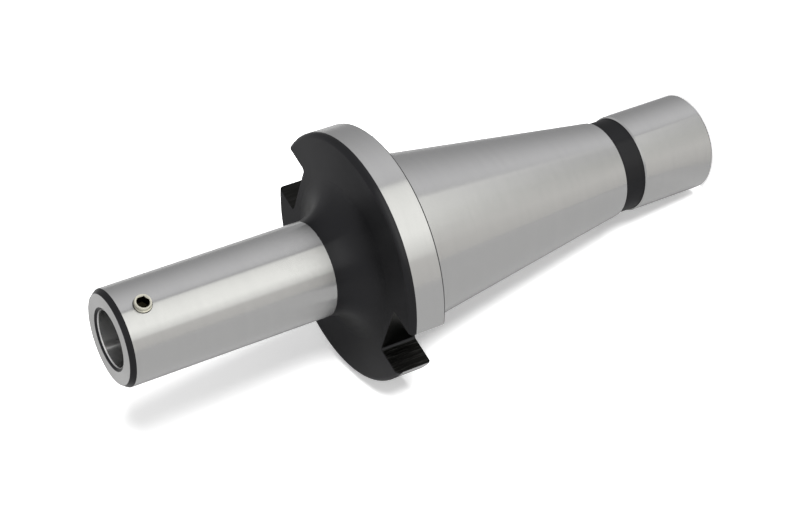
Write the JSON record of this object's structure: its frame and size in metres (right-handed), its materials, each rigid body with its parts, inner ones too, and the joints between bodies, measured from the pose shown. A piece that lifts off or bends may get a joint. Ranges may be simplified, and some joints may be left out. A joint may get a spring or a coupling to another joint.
{
  "type": "boring head arbor",
  "caption": "Steel spindle arbor with a 7:24 taper, slotted drive flange and bored cylindrical nose that holds a boring head by its clamp screw.",
  "frame": {"origin": "centre of the taper's gauge circle, 1.6 mm behind the flange's rear face", "axes": "+Z along the arbor axis towards the nose, +X and -X through the two drive slots; the part stands on its tail end"},
  "size_m": [0.0608, 0.063, 0.1665],
  "materials": {
    "arbor_steel": "fine ground on the taper, tail, rim and nose; satin black oxide on the flange face, neck, slots, groove and chamfers",
    "screw_plating": "pale yellowish zinc plating"
  },
  "bodies": {
    "arbor": {"arbor_body": "arbor_steel"},
    "clamp_screw": {"clamp_screw": "screw_plating"}
  },
  "joints": [
    {"name": "clamp_screw_travel", "type": "slide", "parent": "arbor", "child": "clamp_screw", "axis": [0.0872, 0.9962, 0], "range_m": [-0.00225, 0.00125]}
  ]
}
